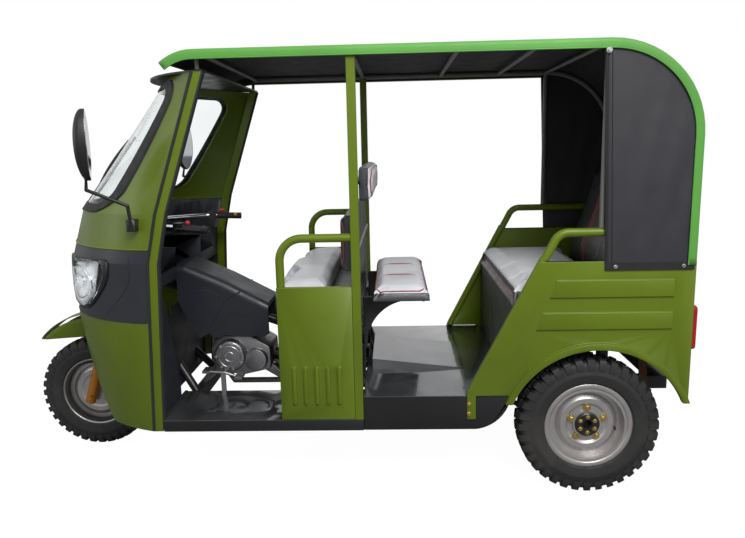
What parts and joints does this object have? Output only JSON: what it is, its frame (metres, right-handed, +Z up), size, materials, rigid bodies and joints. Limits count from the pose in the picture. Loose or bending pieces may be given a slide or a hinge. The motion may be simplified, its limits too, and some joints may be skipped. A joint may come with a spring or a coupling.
{
  "type": "auto_rickshaw",
  "caption": "Green three-wheeled passenger auto rickshaw with open sides, curved screen, canvas roof and bench seats",
  "frame": {"origin": "middle of the footprint on the ground, centred between tail lamps and front tyre", "axes": "X forward towards the steered wheel, Y to the left side of the vehicle, Z up"},
  "size_m": [2.9499, 1.3438, 1.806],
  "materials": {
    "paint": "satin",
    "dark_plastic": "matte",
    "black_paint": "gloss",
    "glass": "clear",
    "rubber": "matte",
    "lens": "clear",
    "chrome": "polished",
    "engine_metal": "cast",
    "exhaust_metal": "satin",
    "rail_paint": "satin",
    "vinyl_grey": "satin",
    "vinyl_dark": "satin",
    "canopy_cloth": "satin",
    "curtain_cloth": "satin",
    "red_lens": "gloss",
    "mirror": "mirror",
    "gold_metal": "satin",
    "tyre": "matte",
    "rim_metal": "satin"
  },
  "bodies": {
    "body": {"chassis": "black_paint", "front_floor": "black_paint", "deck": "black_paint", "deck_ramp": "black_paint", "cowl_lower": "paint", "cowl_middle": "dark_plastic", "headlamps": "lens", "lamp_buckets": "chrome", "cowl_upper": "paint", "screen": "glass", "screen_seal": "rubber", "door_posts": "paint", "visor": "dark_plastic", "fascia": "dark_plastic", "leg_panels": "dark_plastic", "fairing": "dark_plastic", "engine": "engine_metal", "exhaust": "exhaust_metal", "pedals": "engine_metal", "b_posts": "paint", "seat_panels": "paint", "seat_box": "black_paint", "front_rails": "paint", "driver_seat": "vinyl_grey", "back_frame": "black_paint", "driver_backrest": "vinyl_dark", "jump_seat": "vinyl_grey", "jump_brackets": "black_paint", "jump_back": "vinyl_grey", "rear_sides": "paint", "rear_rails": "paint", "bench_box": "black_paint", "rear_bench": "vinyl_grey", "rear_backrest": "vinyl_dark", "rear_wall": "paint", "tail_lamps": "red_lens", "roof_frame": "rail_paint", "canopy": "canopy_cloth", "curtains": "curtain_cloth", "mirrors": "dark_plastic", "mirror_glass": "mirror", "wiper": "black_paint", "rear_axle": "black_paint", "springs": "black_paint", "hangers": "black_paint", "drive_shaft": "black_paint"},
    "steering": {"fork": "gold_metal", "yokes": "black_paint", "handlebar": "chrome", "grips": "rubber", "controls": "dark_plastic", "front_guard": "paint"},
    "front_wheel": {"front_tyre": "tyre", "front_rim": "rim_metal"},
    "rear_wheel_left": {"rear_tyre_left": "tyre", "rear_rim_left": "rim_metal"},
    "rear_wheel_right": {"rear_tyre_right": "tyre", "rear_rim_right": "rim_metal"}
  },
  "joints": [
    {"name": "steer", "type": "hinge", "parent": "body", "child": "steering", "pos_m": [0.98952, 0, 0.81062], "axis": [-0.2924, 0, 0.9563], "range_deg": [-36, 36]},
    {"name": "front_wheel_spin", "type": "hinge", "parent": "steering", "child": "front_wheel", "pos_m": [1.205, 0, 0.27], "axis": [0, 1, 0], "continuous": true},
    {"name": "rear_left_spin", "type": "hinge", "parent": "body", "child": "rear_wheel_left", "pos_m": [-1.055, 0.49, 0.288], "axis": [0, 1, 0], "continuous": true},
    {"name": "rear_right_spin", "type": "hinge", "parent": "body", "child": "rear_wheel_right", "pos_m": [-1.055, -0.49, 0.288], "axis": [0, 1, 0], "continuous": true}
  ]
}
